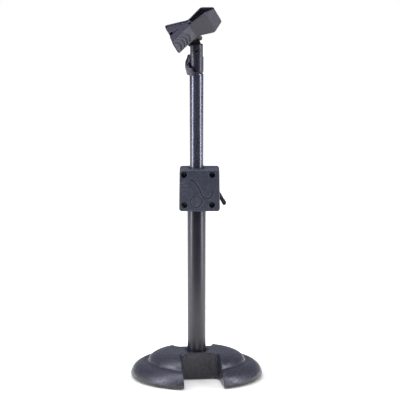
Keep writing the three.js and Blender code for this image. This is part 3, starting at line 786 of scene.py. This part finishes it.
def fan_solid(core, line, far):
    """A closed solid between the axis, a slanting edge and a far edge, for trimming the lever's side."""
    count = len(line)
    points = core + line + far
    low_far, high_far = 2 * count, 2 * count + 1
    faces = [[k, k + 1, count + k + 1, count + k] for k in range(count - 1)]
    faces.append([*range(count, 2 * count), high_far, low_far])
    faces.append([*reversed(range(count)), low_far, high_far])
    faces.append([0, count, low_far])
    faces.append([count - 1, high_far, 2 * count - 1])
    return points, faces


# ---------------------------------------------------------------- clip

WALL = 2.2
END_WALL = 7
# Stations along an arm: how far along it, how far from the middle, and half its width.
ARM = {
    "finger": (-33.0, 21.75, 10.8), "bend": (0, 5.8, 11.6),
    "crease": (23.0, 8.7, 17.9), "tip": (38.1, 2.8, 12.0),
}


def corner_arc(before, corner, after, radius, count=5):
    """Rounds one corner of an outline with a short curve."""
    a = (Vector(before) - Vector(corner)).normalized() * radius
    b = (Vector(after) - Vector(corner)).normalized() * radius
    start, end = Vector(corner) + a, Vector(corner) + b
    points = []
    for k in range(count + 1):
        t = k / count
        points.append(tuple(start * (1 - t) ** 2 + Vector(corner) * 2 * t * (1 - t) + end * t * t))
    return points


def arm_side():
    """The arm seen along the hinge: end wall, finger pad, bend, crease and tip, one wall thick."""
    fx, fy, _ = ARM["finger"]
    bx, by, _ = ARM["bend"]
    cx, cy, _ = ARM["crease"]
    tx, ty, _ = ARM["tip"]
    outer = corner_arc((fx, -fy + 8), (fx, -fy), (bx, -by), 1.8)
    outer += corner_arc((fx, -fy), (bx, -by), (cx, -cy), 3)
    outer += corner_arc((bx, -by), (cx, -cy), (tx, -ty), 3.2) + [(tx, -ty)]
    inner = [(tx, -ty + WALL)] + corner_arc((tx, -ty + WALL), (cx - 0.6, -cy + WALL), (bx, -by + WALL), 2)
    inner += corner_arc((cx, -cy + WALL), (bx, -by + WALL), (fx, -fy + WALL), 2)
    inner += corner_arc((bx, -by + WALL), (fx + 1.8, -fy + WALL + 0.6), (fx + 1.8, -fy + 8), 1.5)
    return outer + inner + [(fx + 1.8, -fy + END_WALL), (fx, -fy + END_WALL)]


def arm_plan():
    fx, _, fw = ARM["finger"]
    bx, _, bw = ARM["bend"]
    cx, _, cw = ARM["crease"]
    tx, _, tw = ARM["tip"]
    lip = 4
    half = corner_arc((fx, 0), (fx, -fw), (bx, -bw), lip) + [(bx, -bw)]
    half += corner_arc((bx, -bw), (cx, -cw), (tx, -tw), 2.5) + corner_arc((cx, -cw), (tx, -tw), (tx, 0), 1.5)
    return half + [(x, -z) for x, z in reversed(half)]


def flange_outline():
    fx, fy, _ = ARM["finger"]
    by = ARM["bend"][1]
    end = fx + 0.8
    outline = [(end, -fy + 5), (end + 1.2, -fy + 1.7), (0.5, -by + 0.3), (3.2, -by + 0.6), (3.3, 0)]
    outline += arc(0, 0, 3.3, 0, 140, 10)
    outline += corner_arc((0, 0), (end, -5.5), (end, -fy), 2.5, 4)
    return outline


def finger_grooves(place):
    """Shallow waves across the finger pad."""
    fx, fy, fw = ARM["finger"]
    by = ARM["bend"][1]
    slope = (fy - by) / -fx
    tools = []
    for k in range(4):
        x = fx + 6 + 5 * k
        points = []
        for step in range(-6, 7):
            z = step / 6 * (fw - 1.5)
            along = x + 2.6 * cos(step / 6 * pi * 0.75) - 0.22 * z
            points.append((along, -by + slope * along, z))
        tools.append(wire("wave", points, 1.05, place))
    return tools


def make_arm(name, node, mirror):
    arm = prism(name, arm_side(), -18.5, 18.5, "z", CLIP)
    plan = prism("plan", arm_plan(), -26, 1, "y", CLIP)
    combine(arm, plan, "INTERSECT")
    outer = 8.9 if mirror else 10.8
    flanges = [prism("flange", flange_outline(), low, low + 1.5, "z", CLIP) for low in (outer - 1.5, -outer)]
    fuse([arm] + flanges)
    carve(arm, finger_grooves(CLIP) + [round_rod("pin_hole", 1.8, (0, 0), -30, 30, "z", CLIP)])
    mould(arm, 0.36, 2)
    if mirror:
        arm.data.transform(Matrix.Scale(-1, 4, (0, 1, 0)))
        arm.data.flip_normals()
    return adopt(arm, node)


def make_jaw_pad(name, node, mirror):
    cx, cy, _ = ARM["crease"]
    tx, ty, _ = ARM["tip"]
    slope = atan2(cy - ty, tx - cx)
    start, half = 25, 9
    length = 10 / cos(slope)
    outline = [(0, 0.15), (0, 1.0)]
    for k in range(5):
        centre = length * (k + 0.5) / 5
        outline += [(centre - 0.55, 1.0), (centre - 0.3, 0.65), (centre + 0.3, 0.65), (centre + 0.55, 1.0)]
    outline += [(length, 1.0), (length, 0.15), (length - 0.15, 0), (0.15, 0)]
    inner = cy - WALL / cos(slope) - 0.45 - (start - cx) * (cy - ty) / (tx - cx)
    pad = prism(name, outline, -half, half, "z", CLIP)
    pad.data.transform(Matrix.Rotation(slope, 4, "Z"))
    pad.data.transform(Matrix.Translation((start * MM, -inner * MM, 0)))
    if mirror:
        pad.data.transform(Matrix.Scale(-1, 4, (0, 1, 0)))
        pad.data.flip_normals()
    return adopt(edge_round(pad, 0.15, 2, 30), node)


def helix(radius, low, high, turns, per_turn=16):
    count = int(turns * per_turn)
    return [
        (
            radius * cos(2 * pi * k / per_turn),
            radius * sin(2 * pi * k / per_turn),
            low + (high - low) * k / count,
        )
        for k in range(count + 1)
    ]


def make_clip_spring():
    low, high = local_box("torsion_spring", CLIP)
    spring = wire("clip_spring", helix(2.5, low.z + 0.4, high.z - 0.4, 8), 0.35, CLIP)
    adopt(shade(spring), "torsion_spring")


def make_hinge_pin():
    low, high = local_box("hinge_pin", CLIP)
    pin = lathe("clip_pin", [
        (0, low.z), (1.2, low.z), (1.5, low.z + 0.3), (1.5, high.z - 0.9), (2.6, high.z - 0.9),
        (2.6, high.z - 0.5), (1.9, high.z), (0, high.z + 0.1)], CLIP, 48)
    adopt(edge_round(pin, 0.12, 2, 30), "hinge_pin")


def make_tongue():
    reach = (TONGUE.inverted() @ Vector(JOINT["clip_pan"]["pos_m"])).z / MM
    disc = round_rod("tongue", 6.6, (0, 0), -2.8, 2.8, "y", TONGUE, 64)
    neck = block("neck", (-2, -2.8, 1), (10, 2.8, reach - 1), TONGUE)
    trim = round_rod("trim", 10.0, (0, 0), -8, 8, "y", TONGUE, 64)
    tall = block("tall", (-3, -8, 6), (11, 8, reach + 5), TONGUE)
    combine(trim, tall, "UNION")
    combine(neck, trim, "INTERSECT")
    knuckle = round_rod("knuckle", 3.6, (0, reach), -2, 10, "x", TONGUE)
    fuse([disc, neck, knuckle])
    carve(disc, [
        round_rod("rivet_hole", 1.8, (0, reach), -4, 12, "x", TONGUE),
        round_rod("screw_hole", 2.8, (0, 0), -8, 8, "y", TONGUE),
    ])
    adopt(mould(disc, 0.3, 2), "clip_tongue")


def make_carrier():
    low, high = local_box("clip_carrier", PAN)
    pin = PAN.inverted() @ Vector(JOINT["front_jaw_open"]["pos_m"]) / MM
    bridge = prism("carrier", rounded(low.x, high.x, -4.5, 4.5, 1.5), 3.9, 6.9, "z", PAN)
    pieces = [bridge, round_rod("boss", 3.2, (pin.x, 0), 6, high.z, "z", PAN)]
    for x0, x1 in ((low.x, -2.3), (10.3, high.x)):
        pieces.append(round_rod("ear", 3.6, (0, 0), x0, x1, "x", PAN))
        pieces.append(block("ear_foot", (x0, -3.6, 0), (x1, 3.6, 4.9), PAN))
    fuse(pieces)
    carve(bridge, [
        round_rod("rivet_hole", 1.8, (0, 0), low.x - 2, high.x + 2, "x", PAN),
        round_rod("pin_hole", 1.8, (pin.x, 0), 2, high.z + 2, "z", PAN),
    ])
    adopt(mould(bridge, 0.3, 2), "clip_carrier")


def make_rivet():
    low, high = local_box("pan_rivet", TONGUE)
    reach = (TONGUE.inverted() @ Vector(JOINT["clip_pan"]["pos_m"])).z
    place = TONGUE @ Matrix.Translation((low.x * MM, 0, reach)) @ Matrix.Rotation(pi / 2, 4, "Y")
    length = high.x - low.x
    rivet = lathe("rivet", [
        (0, 0), (1.6, 0.05), (2.5, 0.5), (2.8, 1.1), (1.5, 1.1), (1.5, length - 1.1), (2.8, length - 1.1),
        (2.5, length - 0.5), (1.6, length - 0.05), (0, length)], place, 48)
    adopt(edge_round(rivet, 0.08, 2, 30), "pan_rivet")


def make_clip():
    make_tongue()
    make_rivet()
    make_carrier()
    make_hinge_pin()
    make_clip_spring()
    make_arm("clip_front_arm", "front_jaw", False)
    make_arm("clip_rear_arm", "rear_jaw", True)
    make_jaw_pad("front_pad", "front_jaw_pad", False)
    make_jaw_pad("rear_pad", "rear_jaw_pad", True)


# ---------------------------------------------------------------- studio


WORLD_FRONT = 0.04
WORLD_BACK = 0.4
FLOOR_GLOW = 0.05
FLOOR_FAR_GLOW = 1.0
SOFT_WHITE = (0.80, 0.84, 1.0)


def soft_light(name, size, energy, location, target=(0, 0, 0.22)):
    data = bpy.data.lights.new(name, "AREA")
    data.shape = "RECTANGLE"
    data.size, data.size_y = size
    data.energy = energy
    data.color = SOFT_WHITE
    lamp = bpy.data.objects.new(name, data)
    scene.collection.objects.link(lamp)
    spot = UPPER @ Vector(location)
    lamp.location = spot
    lamp.rotation_mode = "QUATERNION"
    lamp.rotation_quaternion = (Vector(target) - spot).to_track_quat("-Z", "Y")


def make_world():
    """White behind the object for the eye, darker towards the front for its reflections."""
    world = bpy.data.worlds.new("studio")
    world.use_nodes = True
    tree = world.node_tree
    shown = tree.nodes["Background"]
    shown.inputs["Color"].default_value = (1, 1, 1, 1)
    shown.inputs["Strength"].default_value = 1.0
    lit = tree.nodes.new("ShaderNodeBackground")
    lit.inputs["Color"].default_value = (*SOFT_WHITE, 1)
    coords = tree.nodes.new("ShaderNodeTexCoord")
    along = tree.nodes.new("ShaderNodeVectorMath")
    along.operation = "DOT_PRODUCT"
    along.inputs[1].default_value = ACROSS
    link(tree, coords, "Generated", along, 0)
    fade = mapped(tree, along, "Value", -0.6, 1.0, WORLD_FRONT, WORLD_BACK)
    link(tree, fade, "Result", lit, "Strength")
    path = tree.nodes.new("ShaderNodeLightPath")
    choose = tree.nodes.new("ShaderNodeMixShader")
    link(tree, path, "Is Camera Ray", choose, 0)
    link(tree, lit, "Background", choose, 1)
    link(tree, shown, "Background", choose, 2)
    link(tree, choose, "Shader", tree.nodes["World Output"], "Surface")
    scene.world = world


def make_floor():
    """A pale sheet just below the pads. It stops short in front, so that the tubes reflect dark."""
    size = 4000
    front = -450
    level = -0.3
    corners = [(-size, front, level), (size, front, level), (size, size, level), (-size, size, level)]
    floor = make("floor", corners, [[0, 1, 2, 3]], GROUND)
    pale = bpy.data.materials.new("pale_floor")
    pale.use_nodes = True
    shader = pale.node_tree.nodes["Principled BSDF"]
    shader.inputs["Base Color"].default_value = (0.92, 0.87, 0.74, 1)
    shader.inputs["Roughness"].default_value = 0.95
    shader.inputs["Specular IOR Level"].default_value = 0.1
    shader.inputs["Emission Color"].default_value = (1, 1, 1, 1)
    tree = pale.node_tree
    coords = tree.nodes.new("ShaderNodeTexCoord")
    reach = tree.nodes.new("ShaderNodeVectorMath")
    reach.operation = "LENGTH"
    link(tree, coords, "Object", reach, 0)
    glow = mapped(tree, reach, "Value", 0.09, 0.2, FLOOR_GLOW, FLOOR_FAR_GLOW)
    link(tree, glow, "Result", shader, "Emission Strength")
    floor.data.materials.append(pale)


def make_studio():
    make_world()
    make_floor()
    soft_light("left_box", (0.4, 1.8), 40, (-1.5, -0.62, 0.7))
    soft_light("right_box", (0.35, 1.8), 34, (1.5, -0.5, 0.7))
    soft_light("top_box", (1.8, 1.6), 38, (-0.3, -0.3, 1.9))
    scene.view_settings.view_transform = "Standard"


make_base()
pipe("lower_tube", "outer_tube", OUTER_BORE)
pipe("upper_tube", "inner_tube", INNER_BORE)
make_clutch()
make_barrel()
make_swivel_screw()
make_quick_lever()
make_quick_pin()
make_clip()
dress_cad_nodes()
make_studio()
